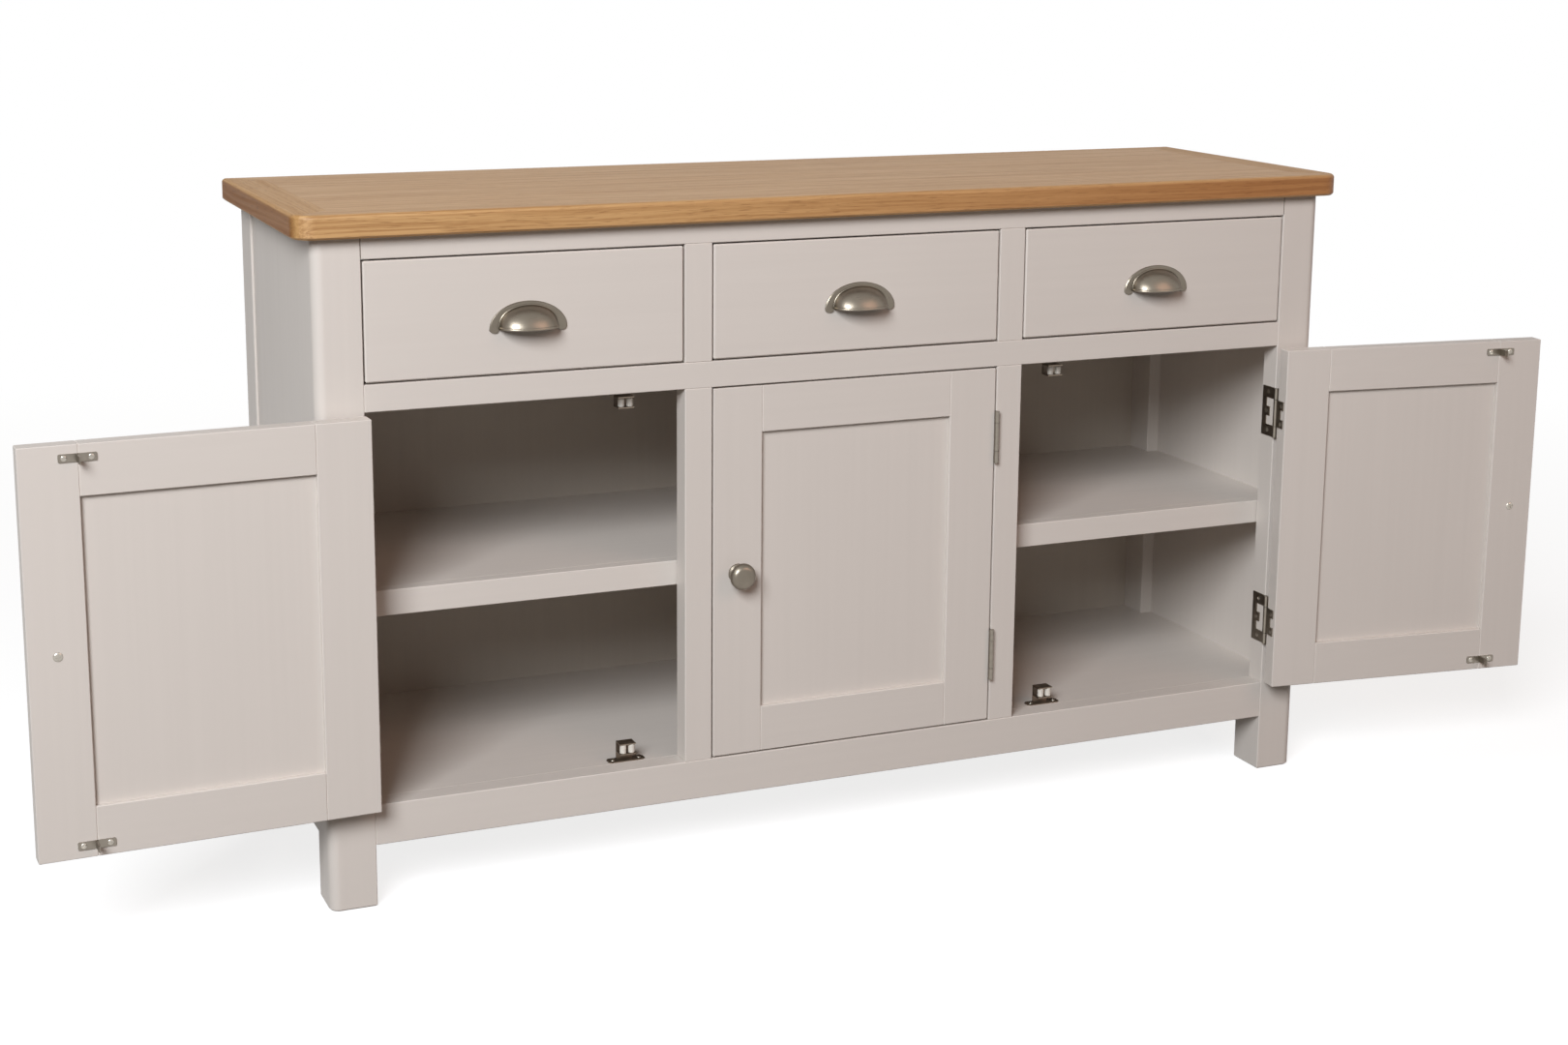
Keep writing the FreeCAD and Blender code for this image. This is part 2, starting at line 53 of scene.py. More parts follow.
# Places on the frame in mm, with doors and drawers shut
FACE_Y = -197.5            # front face of doors, drawers and frame
DOOR_BACK_Y = -176.5       # inside face of a door
DRAWER_BACK_Y = -177.5     # inside face of a drawer's front
KNOB_Z = 350.0
KNOB_X = {"left_door": -255.667, "middle_door": -155.667, "right_door": 255.667}
CATCH_X = {"left_door": -285.667, "middle_door": -125.667, "right_door": 285.667}
PULL_X = {"left_drawer": -411.333, "middle_drawer": 0.0, "right_drawer": 411.333}
PULL_LIP_Z = 662.0
HINGE_Z = (210.0, 490.0)
# Face of each frame leaf and of each door leaf, and the way it looks along X
FRAME_LEAF_FACE = {"left_door": (-598.5, 1), "middle_door": (187.167, -1), "right_door": (598.5, -1)}
DOOR_LEAF_FACE = {"left_door": (-599.5, -1), "middle_door": (188.167, 1), "right_door": (599.5, 1)}
BOARDS_Z = (122.0, 578.0)  # floor of the cupboard and underside of the middle rail
CATCH_Z = (138.0, 562.0)   # lower and upper rollers, with their strikes
ROLLER_Y = -167.5
ROLLER_OUT = 5.3           # from the middle of a catch to a roller's axle


def linear(code):
    """A colour written as sRGB hex, as the linear colour that a shader takes."""
    parts = [int(code[i:i + 2], 16) / 255 for i in (1, 3, 5)]
    return [p / 12.92 if p <= 0.04045 else ((p + 0.055) / 1.055) ** 2.4 for p in parts] + [1.0]


def add(tree, kind, inputs=(), **settings):
    """Adds one node. An input is named or numbered, and takes a value or the socket that feeds it."""
    node = tree.nodes.new(kind)
    for key, value in settings.items():
        setattr(node, key, value)
    for key, value in dict(inputs).items():
        if isinstance(value, bpy.types.NodeSocket):
            tree.links.new(value, node.inputs[key])
        else:
            node.inputs[key].default_value = value
    return node


def new_finish(name):
    finish = bpy.data.materials.new(name)
    finish.use_nodes = True
    finish.node_tree.nodes.clear()
    return finish, finish.node_tree


def pitch(run, along, across):
    """Pattern scales from two sizes in mm: how long a mark is along the grain, and how far it is from mark
    to mark."""
    scales = [1 / (across * MM)] * 3
    scales[run] = 1 / (along * MM)
    return scales


def eggshell_paint(name, run, tones=("#D0C8C0", "#D2CAC2", "#CDC5BD")):
    """Eggshell paint brushed on timber. It gives a soft low sheen, faint brush marks along the member, and
    a little of the timber's grain showing through as streaks. The tones are the grain's two and that of a
    thin coat."""
    finish, tree = new_finish(name)
    place = add(tree, "ShaderNodeTexCoord").outputs["Object"]
    # Bristle marks are about 1 mm apart, too fine for the render, so they are drawn 3 mm apart
    marks = add(tree, "ShaderNodeMapping", {"Vector": place, "Scale": pitch(run, 130, 3)})
    bristle = add(tree, "ShaderNodeTexNoise", {"Vector": marks.outputs[0], "Scale": 1.0, "Detail": 2.0})
    # Grain under the paint, 9 mm from band to band
    bands = add(tree, "ShaderNodeMapping", {"Vector": place, "Scale": pitch(run, 420, 9)})
    grain = add(tree, "ShaderNodeTexNoise", {"Vector": bands.outputs[0], "Scale": 1.0, "Detail": 3.0})
    # Slow change in the paint's depth, about 260 mm across
    depth = add(tree, "ShaderNodeTexNoise", {"Vector": place, "Scale": 1 / (260 * MM), "Detail": 2.0})
    streak = add(tree, "ShaderNodeMapRange", {"Value": grain.outputs["Fac"], **NOISE_SPAN})
    body = add(tree, "ShaderNodeMix", {0: streak.outputs[0], 6: linear(tones[0]), 7: linear(tones[1])},
               data_type="RGBA")
    thin = add(tree, "ShaderNodeMapRange", {"Value": depth.outputs["Fac"], **NOISE_SPAN, "To Max": 0.35})
    coat = add(tree, "ShaderNodeMix", {0: thin.outputs[0], 6: body.outputs[2], 7: linear(tones[2])},
               data_type="RGBA")
    relief = add(tree, "ShaderNodeMath", {0: grain.outputs["Fac"], 1: 0.8, 2: bristle.outputs["Fac"]},
                 operation="MULTIPLY_ADD")
    bump = add(tree, "ShaderNodeBump", {"Height": relief.outputs[0], "Distance": 0.01 * MM,
                                        "Strength": 0.6})
    rough = add(tree, "ShaderNodeMapRange", {"Value": bristle.outputs["Fac"], **NOISE_SPAN,
                                             "To Min": 0.45, "To Max": 0.53})
    shader = add(tree, "ShaderNodeBsdfPrincipled", {"Base Color": coat.outputs[2], "IOR": 1.48,
                                                    "Roughness": rough.outputs[0],
                                                    "Normal": bump.outputs[0]})
    add(tree, "ShaderNodeOutputMaterial", {"Surface": shader.outputs[0]})
    return finish


def lacquered_oak(name, run, band, figure, heart, end, film):
    """European oak, sanded and clear satin lacquered. It gives golden brown with fine darker growth bands,
    short open pores along the grain, and a satin film that goes milky at a low angle. band is the bands'
    pitch in mm, and a small figure makes them stronger. heart is how far a face that is not level darkens
    and reddens towards its right end. end is how far a face that looks sideways darkens: painted shade on
    a side face, and also end grain that drinks lacquer where a long lipping rounds the corner. film is how
    strongly the lacquer reflects."""
    finish, tree = new_finish(name)
    coords = add(tree, "ShaderNodeTexCoord").outputs
    place = coords["Object"]
    # The grain wanders by up to 14 mm over a hand's width
    slow = add(tree, "ShaderNodeMapping", {"Vector": place, "Scale": pitch(run, 300, 70)})
    drift = add(tree, "ShaderNodeTexNoise", {"Vector": slow.outputs[0], "Scale": 1.0, "Detail": 1.0})
    wander = add(tree, "ShaderNodeVectorMath", {0: drift.outputs["Color"], 1: [14 * MM] * 3, 2: place},
                 operation="MULTIPLY_ADD")
    rings = add(tree, "ShaderNodeMapping", {"Vector": wander.outputs[0], "Scale": pitch(run, 380, band)})
    growth = add(tree, "ShaderNodeTexNoise", {"Vector": rings.outputs[0], "Scale": 1.0, "Detail": 4.0,
                                              "Roughness": 0.6})
    # Pores are 0.3 mm wide and up to 10 mm long, too fine for the render, so they are 1.2 mm by 22 mm
    open_grain = add(tree, "ShaderNodeMapping", {"Vector": wander.outputs[0], "Scale": pitch(run, 22, 1.2)})
    specks = add(tree, "ShaderNodeTexNoise", {"Vector": open_grain.outputs[0], "Scale": 1.0, "Detail": 2.0})
    pores = add(tree, "ShaderNodeMapRange", {"Value": specks.outputs["Fac"], "From Min": 0.56,
                                             "From Max": 0.70, "To Max": 0.55})
    # Boards and veneer leaves differ over about 60 mm
    leaves = add(tree, "ShaderNodeMapping", {"Vector": place, "Scale": pitch(run, 900, 60)})
    tone = add(tree, "ShaderNodeTexNoise", {"Vector": leaves.outputs[0], "Scale": 1.0, "Detail": 1.0})
    early = add(tree, "ShaderNodeMapRange", {"Value": growth.outputs["Fac"], "From Min": 0.5 - figure,
                                             "From Max": 0.5 + figure})
    wood = add(tree, "ShaderNodeMix", {0: early.outputs[0], 6: linear("#A67C4C"), 7: linear("#C59D6A")},
               data_type="RGBA")
    share = add(tree, "ShaderNodeMapRange", {"Value": tone.outputs["Fac"], "From Min": 0.35,
                                             "From Max": 0.65, "To Max": 0.4})
    leaf = add(tree, "ShaderNodeMix", {0: share.outputs[0], 6: wood.outputs[2], 7: linear("#BA8F5C")},
               data_type="RGBA")
    grain = add(tree, "ShaderNodeMix", {0: pores.outputs[0], 6: leaf.outputs[2], 7: linear("#83592D")},
                data_type="RGBA")
    facing = add(tree, "ShaderNodeSeparateXYZ", {0: coords["Normal"]})
    level = add(tree, "ShaderNodeMath", {0: facing.outputs["Z"]}, operation="ABSOLUTE")
    edge = add(tree, "ShaderNodeMath", {0: 1.0, 1: level.outputs[0]}, operation="SUBTRACT")
    along = add(tree, "ShaderNodeSeparateXYZ", {0: place})
    # Faces that are not level darken and redden towards the right, between 0.25 m left and 0.55 m right of
    # the middle
    rightward_darkening = add(tree, "ShaderNodeMapRange", {"Value": along.outputs["X"], "From Min": -0.25, "From Max": 0.55,
                                            "To Min": 0.15 * heart, "To Max": heart})
    shown = add(tree, "ShaderNodeMath", {0: rightward_darkening.outputs[0], 1: edge.outputs[0]}, operation="MULTIPLY")
    stave = add(tree, "ShaderNodeMix", {0: shown.outputs[0], 6: grain.outputs[2], 7: linear("#D8BDA2")},
                data_type="RGBA", blend_type="MULTIPLY")
    # Faces that look sideways darken: painted shade, and also end grain that drinks lacquer where a long
    # lipping rounds the corner
    sideways = add(tree, "ShaderNodeMath", {0: facing.outputs["X"]}, operation="ABSOLUTE")
    side_shade_and_soak = add(tree, "ShaderNodeMapRange", {"Value": sideways.outputs[0], "From Min": 0.8, "From Max": 1.0,
                                              "To Max": end})
    board = add(tree, "ShaderNodeMix", {0: side_shade_and_soak.outputs[0], 6: stave.outputs[2], 7: linear("#B3955C")},
                data_type="RGBA", blend_type="MULTIPLY")
    bump = add(tree, "ShaderNodeBump", {"Height": pores.outputs[0], "Distance": 0.12 * MM, "Strength": 0.5},
               invert=True)
    rough = add(tree, "ShaderNodeMapRange", {"Value": growth.outputs["Fac"], **NOISE_SPAN,
                                             "To Min": 0.58, "To Max": 0.46})
    shader = add(tree, "ShaderNodeBsdfPrincipled", {"Base Color": board.outputs[2], "IOR": 1.5,
                                                    "Specular IOR Level": film,
                                                    "Roughness": rough.outputs[0],
                                                    "Normal": bump.outputs[0]})
    add(tree, "ShaderNodeOutputMaterial", {"Surface": shader.outputs[0]})
    return finish


def planed_pine(name, run):
    """Pine, planed and sealed, for what is hidden behind the fronts. It gives pale straw with broad soft
    summer bands and a dry low sheen."""
    finish, tree = new_finish(name)
    place = add(tree, "ShaderNodeTexCoord").outputs["Object"]
    # Growth bands about 7 mm apart on a flat sawn face
    rings = add(tree, "ShaderNodeMapping", {"Vector": place, "Scale": pitch(run, 450, 7)})
    growth = add(tree, "ShaderNodeTexNoise", {"Vector": rings.outputs[0], "Scale": 1.0, "Detail": 3.0,
                                              "Distortion": 0.4})
    summer = add(tree, "ShaderNodeMapRange", {"Value": growth.outputs["Fac"], "From Min": 0.42,
                                              "From Max": 0.66})
    # Planer marks and fibre, 0.5 mm, drawn at 1.5 mm
    fibre = add(tree, "ShaderNodeMapping", {"Vector": place, "Scale": pitch(run, 60, 1.5)})
    fine = add(tree, "ShaderNodeTexNoise", {"Vector": fibre.outputs[0], "Scale": 1.0, "Detail": 2.0})
    wood = add(tree, "ShaderNodeMix", {0: summer.outputs[0], 6: linear("#DEC296"), 7: linear("#C79B63")},
               data_type="RGBA")
    bump = add(tree, "ShaderNodeBump", {"Height": fine.outputs["Fac"], "Distance": 0.1 * MM,
                                        "Strength": 0.4})
    rough = add(tree, "ShaderNodeMapRange", {"Value": fine.outputs["Fac"], "To Min": 0.5, "To Max": 0.7})
    shader = add(tree, "ShaderNodeBsdfPrincipled", {"Base Color": wood.outputs[2], "IOR": 1.45,
                                                    "Roughness": rough.outputs[0],
                                                    "Normal": bump.outputs[0]})
    add(tree, "ShaderNodeOutputMaterial", {"Surface": shader.outputs[0]})
    return finish


def brushed_nickel(name):
    """Nickel plate over a cast blank, brushed with a fine belt. It gives a warm grey metal with long soft
    highlights drawn out across fine hairlines."""
    finish, tree = new_finish(name)
    place = add(tree, "ShaderNodeTexCoord").outputs["Object"]
    across = add(tree, "ShaderNodeAttribute", attribute_name="across_brush")
    apart = add(tree, "ShaderNodeSeparateXYZ", {0: place})
    # Hairlines are 0.1 mm apart, too fine for the render, so they are 0.5 mm apart and 14 mm long
    fine = add(tree, "ShaderNodeMath", {0: across.outputs["Fac"], 1: 1 / (0.5 * MM)}, operation="MULTIPLY")
    along = add(tree, "ShaderNodeMath", {0: apart.outputs["X"], 1: 1 / (14 * MM)}, operation="MULTIPLY")
    lines = add(tree, "ShaderNodeCombineXYZ", {0: fine.outputs[0], 1: along.outputs[0]})
    hair = add(tree, "ShaderNodeTexNoise", {"Vector": lines.outputs[0], "Scale": 1.0, "Detail": 2.0})
    # Handling dulls patches about 15 mm across
    haze = add(tree, "ShaderNodeTexNoise", {"Vector": place, "Scale": 1 / (15 * MM), "Detail": 2.0})
    plate = add(tree, "ShaderNodeMix", {0: haze.outputs["Fac"], 6: linear("#736B60"), 7: linear("#827A6E")},
                data_type="RGBA")
    rough = add(tree, "ShaderNodeMapRange", {"Value": hair.outputs["Fac"], **NOISE_SPAN,
                                             "To Min": 0.27, "To Max": 0.37})
    bump = add(tree, "ShaderNodeBump", {"Height": hair.outputs["Fac"], "Distance": 0.03 * MM,
                                        "Strength": 0.5})
    shader = add(tree, "ShaderNodeBsdfPrincipled", {"Base Color": plate.outputs[2], "Metallic": 1.0,
                                                    "Roughness": rough.outputs[0],
                                                    "Normal": bump.outputs[0]})
    add(tree, "ShaderNodeOutputMaterial", {"Surface": shader.outputs[0]})
    return finish


def zinc_plate(name, dark, light, low, high):
    """Zinc plate on pressed steel. It gives a cool bright metal with faint rolling lines and cloudy dull
    patches from handling. dark and light are the clouds' tones, low and high their roughness."""
    finish, tree = new_finish(name)
    place = add(tree, "ShaderNodeTexCoord").outputs["Object"]
    # Rolling lines 0.2 mm apart, drawn 0.8 mm apart and 30 mm long up the leaf
    rolled = add(tree, "ShaderNodeMapping", {"Vector": place, "Scale": pitch(UPRIGHT, 30, 0.8)})
    lines = add(tree, "ShaderNodeTexNoise", {"Vector": rolled.outputs[0], "Scale": 1.0, "Detail": 2.0})
    # Cloudy patches about 6 mm across
    cloud = add(tree, "ShaderNodeTexNoise", {"Vector": place, "Scale": 1 / (6 * MM), "Detail": 3.0})
    plate = add(tree, "ShaderNodeMix", {0: cloud.outputs["Fac"], 6: linear(dark), 7: linear(light)},
                data_type="RGBA")
    rough = add(tree, "ShaderNodeMapRange", {"Value": cloud.outputs["Fac"], **NOISE_SPAN,
                                             "To Min": low, "To Max": high})
    bump = add(tree, "ShaderNodeBump", {"Height": lines.outputs["Fac"], "Distance": 0.02 * MM,
                                        "Strength": 0.5})
    shader = add(tree, "ShaderNodeBsdfPrincipled", {"Base Color": plate.outputs[2], "Metallic": 1.0,
                                                    "Roughness": rough.outputs[0],
                                                    "Normal": bump.outputs[0]})
    add(tree, "ShaderNodeOutputMaterial", {"Surface": shader.outputs[0]})
    return finish


def joint_crack_painted_shade(name):
    """Paint cracked open along a joint, drawn as a thin matt strip. Its dark brown is painted shade,
    standing in for the shade that lies in the open joint."""
    finish, tree = new_finish(name)
    place = add(tree, "ShaderNodeTexCoord").outputs["Object"]
    # The painted shade in the crack goes darker and lighter over about 8 mm, as the crack opens and closes
    depth = add(tree, "ShaderNodeTexNoise", {"Vector": place, "Scale": 1 / (8 * MM), "Detail": 1.0})
    wood = add(tree, "ShaderNodeMix", {0: depth.outputs["Fac"], 6: linear("#2E241B"), 7: linear("#6A5A4B")},
               data_type="RGBA")
    shader = add(tree, "ShaderNodeBsdfPrincipled", {"Base Color": wood.outputs[2], "IOR": 1.45,
                                                    "Roughness": 0.8})
    add(tree, "ShaderNodeOutputMaterial", {"Surface": shader.outputs[0]})
    return finish


def moulded_nylon(name):
    """White nylon, moulded. It gives a slightly waxy off-white with a soft sheen and a faint mould
    texture."""
    finish, tree = new_finish(name)
    place = add(tree, "ShaderNodeTexCoord").outputs["Object"]
    # Spark texture of the mould, 0.2 mm, drawn at 0.6 mm
    spark = add(tree, "ShaderNodeTexNoise", {"Vector": place, "Scale": 1 / (0.6 * MM), "Detail": 1.0})
    # Slight change of tint over about 5 mm
    tint = add(tree, "ShaderNodeTexNoise", {"Vector": place, "Scale": 1 / (5 * MM), "Detail": 1.0})
    body = add(tree, "ShaderNodeMix", {0: tint.outputs["Fac"], 6: linear("#CDC7BD"), 7: linear("#D9D4CA")},
               data_type="RGBA")
    bump = add(tree, "ShaderNodeBump", {"Height": spark.outputs["Fac"], "Distance": 0.02 * MM,
                                        "Strength": 0.5})
    rough = add(tree, "ShaderNodeMapRange", {"Value": spark.outputs["Fac"], "To Min": 0.34, "To Max": 0.46})
    shader = add(tree, "ShaderNodeBsdfPrincipled", {"Base Color": body.outputs[2], "IOR": 1.53,
                                                    "Roughness": rough.outputs[0],
                                                    "Subsurface Weight": 0.1,
                                                    "Subsurface Radius": (1.2 * MM, 1.1 * MM, 1.0 * MM),
                                                    "Subsurface Scale": 1.0, "Normal": bump.outputs[0]})
    add(tree, "ShaderNodeOutputMaterial", {"Surface": shader.outputs[0]})
    return finish


paint_across = eggshell_paint("eggshell_paint_brushed_across", ACROSS)
paint_deep = eggshell_paint("eggshell_paint_brushed_front_to_back", DEEP)
paint_up = eggshell_paint("eggshell_paint_brushed_upright", UPRIGHT)
# The back panel's paint is darker and warmer than the rest, on both its faces: painted shade for the dim
# inside of the cupboard
paint_back_with_painted_shade = eggshell_paint("eggshell_paint_darkened_for_painted_shade", UPRIGHT, ("#BAB0A4", "#BDB3A7", "#B6ABA0"))
oak_field = lacquered_oak("lacquered_oak_field", ACROSS, band=4.0, figure=0.14, heart=0.0, end=0.0,
                          film=0.5)
oak_long = lacquered_oak("lacquered_oak_long_lippings", ACROSS, band=2.8, figure=0.11, heart=1.0, end=0.4,
                         film=0.5)
# The end lippings' side faces are darkened all over: painted shade
oak_ends = lacquered_oak("lacquered_oak_end_lippings", DEEP, band=4.0, figure=0.26, heart=0.0, end=1.0,
                         film=0.2)
pine_across = planed_pine("planed_pine_across", ACROSS)
pine_deep = planed_pine("planed_pine_front_to_back", DEEP)
nickel = brushed_nickel("brushed_nickel_plate")
hinge_steel = zinc_plate("zinc_plated_pressed_steel", "#7C756B", "#938B80", low=0.28, high=0.42)
screw_steel = zinc_plate("zinc_plated_screw_steel", "#A39D93", "#BAB4AA", low=0.25, high=0.36)
catch_steel = zinc_plate("bronzed_pressed_steel", "#74685B", "#908376", low=0.34, high=0.5)
nylon = moulded_nylon("moulded_white_nylon")
# Finish of the dark strips in the top rail's joints: painted shade
joint_shade_finish = joint_crack_painted_shade("painted_shade_in_cracked_joint")

node_finish = {
    paint_across: ["bottom_rail", "middle_rail", "top_rail", "floor_board", "dust_board", "shelf_lipping",
                   "shelf_board"],
    paint_deep: ["cleats"],
    paint_up: ["front_left_post", "front_right_post", "back_left_post", "back_right_post", "left_side_panel",
               "right_side_panel", "door_muntins", "drawer_muntins"],
    paint_back_with_painted_shade: ["back_panel"],
    oak_field: ["top_panel"],
    oak_long: ["top_long_lippings"],
    oak_ends: ["top_end_lippings"],
    pine_across: [],
    pine_deep: ["drawer_runners"],
    hinge_steel: ["hinge_frame_leaves"],
    catch_steel: ["catch_housings"],
}
for door in KNOB_X:
    node_finish[paint_up] += [door + "_stiles", door + "_panel"]
    node_finish[paint_across].append(door + "_rails")
    node_finish[hinge_steel] += [door + "_hinge_leaves", door + "_strikes"]
for drawer in PULL_X:
    node_finish[paint_across].append(drawer + "_front")
    node_finish[pine_deep].append(drawer + "_sides")
    node_finish[pine_across] += [drawer + "_back", drawer + "_bottom"]
for finish, nodes in node_finish.items():
    for node in nodes:
        for coat in frame["nodes"][node].material_slots:
            coat.material = finish

# How each body stands at rest. The solids of the two outer doors are turned open about their hinge pins
stand = {body: Matrix.Identity(4) for body in list(KNOB_X) + list(PULL_X) + ["carcass"]}
for joint in frame["joints"]:
    if joint["child"] in ("left_door", "right_door"):
        pin = Matrix.Translation(joint["pos_m"])
        swing = Matrix.Rotation(-math.radians(joint["range_deg"][1]), 4, Vector(joint["axis"]))
        stand[joint["child"]] = pin @ swing @ pin.inverted()

# Limits for clean meshes
WELD = 0.01                # points this near in mm become one
SLIVER = 0.001             # edges this short in mm are taken out
CREASE = 35                # an edge stays sharp where its faces turn by more degrees than this


def loft(bm, rows, layer, brush):
    """Skins closed rows of points in mm, each as long as the next. brush gives each point's distance across
    the hairlines."""
    made = []
    for row, marks in zip(rows, brush):
        ring = [bm.verts.new(Vector(p) * MM) for p in row]
        for vert, mark in zip(ring, marks):
            vert[layer] = mark * MM
        made.append(ring)
    count = len(rows[0])
    for low, high in zip(made, made[1:]):
        for i in range(count):
            j = (i + 1) % count
            bm.faces.new((low[i], low[j], high[j], high[i]))
    return made


def capped_loft(bm, rows, layer, brush):
    """A loft with a face over its first and its last row."""
    made = loft(bm, rows, layer, brush)
    bm.faces.new(made[0])
    bm.faces.new(made[-1])


def piece_from(bm, name, finish, crease):
    """Cleans a mesh that has been built and puts it in the scene as a piece."""
    bmesh.ops.remove_doubles(bm, verts=bm.verts, dist=WELD * MM)
    bmesh.ops.dissolve_degenerate(bm, edges=bm.edges, dist=SLIVER * MM)
    bmesh.ops.recalc_face_normals(bm, faces=bm.faces)
    mesh = bpy.data.meshes.new(name)
    bm.to_mesh(mesh)
    bm.free()
    mesh.shade_smooth()
    mesh.set_sharp_from_angle(angle=math.radians(crease))
    mesh.materials.append(finish)
    piece = bpy.data.objects.new(name, mesh)
    bpy.context.scene.collection.objects.link(piece)
    return piece


def rounded_line(corners, steps=5):
    """A line through corners given as (radius, height, rounding), each corner turned into a short arc."""
    line = []
    for i, (r, h, turn) in enumerate(corners):
        here = Vector((r, h))
        if turn == 0 or i in (0, len(corners) - 1):
            line.append(here)
            continue
        back = (Vector(corners[i - 1][:2]) - here).normalized()
        on = (Vector(corners[i + 1][:2]) - here).normalized()
        for k in range(steps + 1):
            t = k / steps
            line.append(here + back * turn * (1 - t) ** 2 + on * turn * t ** 2)
    return line


# Knob in mm: corners of its profile from the door outwards, as (radius, height, rounding)
KNOB_PROFILE = ((0, 0, 0), (12, 0, 0), (12, 2.2, 0.8), (9.2, 3.6, 1.4), (8.4, 7.2, 2.0), (9.6, 10.4, 1.9),
                (15.0, 13.0, 1.1), (16, 14.8, 1.1), (16, 18.8, 2.0), (11.8, 23.7, 3.0), (0, 25, 0))
KNOB_SIDES = 56
KNOB_CREASE = 40


def turned_knob(door):
    """The knob as it comes off the lathe: a small rose at the door, a waisted neck and a crowned round
    face."""
    profile = rounded_line(KNOB_PROFILE)
    run = [0.0]
    for a, b in zip(profile, profile[1:]):
        run.append(run[-1] + (b - a).length)
    turns = [2 * math.pi * k / KNOB_SIDES for k in range(KNOB_SIDES)]
    rows, brush = [], []
    for (r, h), mark in zip(profile, run):
        rows.append([(KNOB_X[door] + r * math.cos(a), FACE_Y - h, KNOB_Z + r * math.sin(a)) for a in turns])
        brush.append([mark] * KNOB_SIDES)
    bm = bmesh.new()
    loft(bm, rows, bm.verts.layers.float.new("across_brush"), brush)
    bm.transform(stand[door])
    knob = piece_from(bm, door + "_turned_knob", nickel, KNOB_CREASE)
    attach(knob, door)
    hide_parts(door + "_knob")


# Dome of the cup pull in mm: half its width, its rise, how far it stands out, and its sheet
PULL_HALF_W, PULL_RISE, PULL_OUT, PULL_WALL = 34.5, 26.5, 25.0, 1.6
PULL_FULLNESS = 0.8        # a power under 1 keeps it full towards its ends
PULL_FLATNESS = 1.3        # a power over 1 flattens it between crown and lip
PULL_SPANS = 48            # steps along the width
PULL_ARCS = 14             # steps from the crown to the lip
PULL_SKIN_R = 30.0         # radius that the hairlines are spaced by
# The lip: its line, its half sizes and how far it leans back in degrees
LIP_X, LIP_OUT, LIP_RISE = 34.4, 24.6, 1.6
LIP_HALF_T, LIP_HALF_H = 0.7, 1.7
LIP_LEAN = 20
# The bead: its line and its radius
BEAD_X, BEAD_OUT, BEAD_RISE = 34.7, 1.9, 26.7
BEAD_R = 1.0
RIM_SIDES = 10             # sides of lip and bead
RIM_START = 0.02           # share of the width that lip and bead leave free at each end
RIM_MARK = 0.7             # hairlines' distance from side to side
# The flange: steps across its width, its widths at the foot and at the crown, and its thickness
FLANGE_SHARES = (0.0, 0.06, 0.2, 0.35, 0.5, 0.65, 0.8, 0.92, 1.0)
FLANGE_FOOT_W = 11.0
FLANGE_CROWN_IN, FLANGE_CROWN_W = 24.5, 6.5
FLANGE_T, FLANGE_RIM_T = 1.8, 1.1
FLANGE_MARK = 9.0          # hairlines' distance over the whole width
# The ears: half their width, their middle, how far they drop, and how much of the quarter round is used
EAR_HALF_W = FLANGE_FOOT_W / 2
EAR_X = PULL_HALF_W + EAR_HALF_W
EAR_DROP = 4.0
EAR_STEPS = 8
EAR_ROUND = 0.97


def pull_swell(u):
    """How full the cup is at u, which goes from 0 at its left end to pi at its right end."""
    return math.sin(u) ** PULL_FULLNESS


def pull_dome(bm, layer, middle):
    """The half dome pressed from sheet, with its outer and its inner skin."""
    rows, brush = [], []
    for i in range(PULL_SPANS + 1):
        u = math.pi * i / PULL_SPANS
        row, marks = [], []
        for inset, order in ((0, 1), (PULL_WALL, -1)):
            x = middle - (PULL_HALF_W - inset) * math.cos(u)
            for k in range(PULL_ARCS + 1)[::order]:
                t = math.pi / 2 * k / PULL_ARCS
                out = (PULL_OUT - inset) * pull_swell(u) * math.sin(t) ** PULL_FLATNESS
                rise = (PULL_RISE - inset) * pull_swell(u) * math.cos(t) ** PULL_FLATNESS
                row.append((x, FACE_Y - out, PULL_LIP_Z + rise))
                marks.append(t * PULL_SKIN_R)
        rows.append(row)
        brush.append(marks)
    loft(bm, rows, layer, brush)


def oval(heart, first, second):
    """Points round an oval, from its middle and its two half axes."""
    turns = [2 * math.pi * k / RIM_SIDES for k in range(RIM_SIDES)]
    return [heart + first * math.cos(a) + second * math.sin(a) for a in turns]


def pull_rims(bm, layer, middle):
    """The flattened lip along the open edge, leaning back a little so that it catches the light from above,
    and the pressed bead where the dome meets the flange."""
    lean = math.radians(LIP_LEAN)
    lip, bead = [], []
    for i in range(PULL_SPANS + 1):
        u = math.pi * (RIM_START + (1 - 2 * RIM_START) * i / PULL_SPANS)
        swell = pull_swell(u)
        out = Vector((-math.cos(u), -math.sin(u), 0)).normalized()
        face = out * math.cos(lean) + UP * math.sin(lean)
        rise = UP * math.cos(lean) - out * math.sin(lean)
        heart = Vector((middle - LIP_X * math.cos(u), FACE_Y - LIP_OUT * swell, PULL_LIP_Z + LIP_RISE))
        lip.append(oval(heart, face * LIP_HALF_T, rise * LIP_HALF_H))
        away = Vector((-math.cos(u), 0, math.sin(u)))
        heart = Vector((middle - BEAD_X * math.cos(u), FACE_Y - BEAD_OUT, PULL_LIP_Z + BEAD_RISE * swell))
        bead.append(oval(heart, away * BEAD_R, TO_FRONT * BEAD_R))
    marks = [k * RIM_MARK for k in range(RIM_SIDES)]
    for rows in (lip, bead):
        capped_loft(bm, rows, layer, [marks] * len(rows))


